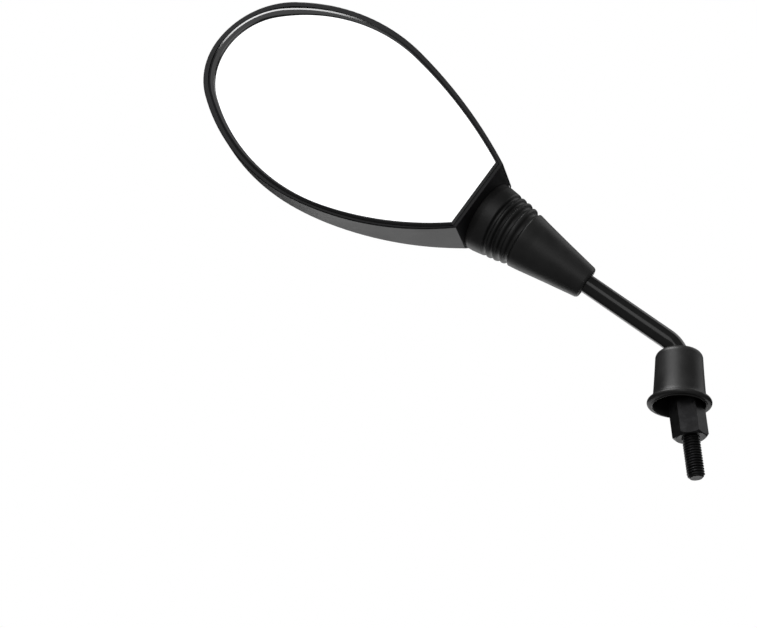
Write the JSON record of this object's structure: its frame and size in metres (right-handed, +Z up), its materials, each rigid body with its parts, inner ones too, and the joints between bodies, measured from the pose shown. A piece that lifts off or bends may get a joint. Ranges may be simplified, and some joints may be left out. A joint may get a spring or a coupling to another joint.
{
  "type": "motor scooter mirror",
  "caption": "Left-hand scooter mirror: teardrop convex mirror in a black housing on a ball joint, rubber boot, bent rod stem, hex adapter and threaded stud.",
  "frame": {"origin": "centre of the adapter's shoulder, where the M8 stud begins", "axes": "-Z along the stud, +Z up the stem; the stem bends over towards -X, and the glass looks towards the rider on the -Y side"},
  "size_m": [0.2205, 0.0672, 0.2424],
  "materials": {
    "satin_plastic": "satin black moulded plastic",
    "rim_plastic": "semi-gloss black plastic",
    "mirror_glass": "silvered convex glass",
    "rubber": "matt black moulded rubber",
    "black_paint": "gloss black powder coat",
    "black_zinc": "black zinc plated steel",
    "bare_steel": "machined steel",
    "nylon": "natural nylon",
    "inner_plastic": "glass-filled black nylon",
    "foam": "closed-cell adhesive foam"
  },
  "bodies": {
    "adapter": {"hex_adapter": "black_zinc", "spring_washer": "bare_steel", "threaded_stud": "black_zinc"},
    "stem": {"stem_ball": "bare_steel", "stem_rod": "black_paint"},
    "jam_nut": {"jam_nut": "black_zinc"},
    "dust_cap": {"dust_cap": "rubber"},
    "swivel_ring": {"liner_front": "nylon"},
    "tilt_ring": {"liner_rear": "nylon"},
    "head": {"boot": "rubber", "boot_ring": "bare_steel", "clamp_screws": "bare_steel", "cover_panel": "satin_plastic", "disc_springs": "bare_steel", "glass_holder": "rim_plastic", "glass_pad": "foam", "mirror_glass": "mirror_glass", "pressure_cup": "inner_plastic", "push_nuts": "bare_steel", "rear_shell": "satin_plastic", "socket_cup": "inner_plastic", "spring_plate": "bare_steel"}
  },
  "joints": [
    {"name": "stem_turn", "type": "hinge", "parent": "adapter", "child": "stem", "pos_m": [0, 0, 0.02], "axis": [0, 0, 1], "range_deg": [-90, 90]},
    {"name": "jam_nut_turn", "type": "hinge", "parent": "stem", "child": "jam_nut", "pos_m": [0, 0, 0.03], "axis": [0, 0, 1], "continuous": true},
    {"name": "dust_cap_slide", "type": "slide", "parent": "stem", "child": "dust_cap", "axis": [0, 0, 1], "range_m": [-0.006, 0]},
    {"name": "head_swivel", "type": "hinge", "parent": "stem", "child": "swivel_ring", "pos_m": [-0.07305, 0, 0.10416], "axis": [-0.7771, 0, 0.6293], "range_deg": [-90, 90], "deforming": ["boot"]},
    {"name": "head_tilt", "type": "hinge", "parent": "swivel_ring", "child": "tilt_ring", "pos_m": [-0.07305, 0, 0.10416], "axis": [-0.5995, 0.304, -0.7404], "range_deg": [-25, 3], "deforming": ["boot"]},
    {"name": "head_pan", "type": "hinge", "parent": "tilt_ring", "child": "head", "pos_m": [-0.07305, 0, 0.10416], "axis": [-0.3412, -0.9339, -0.1072], "range_deg": [-12, 12], "deforming": ["boot"]}
  ]
}
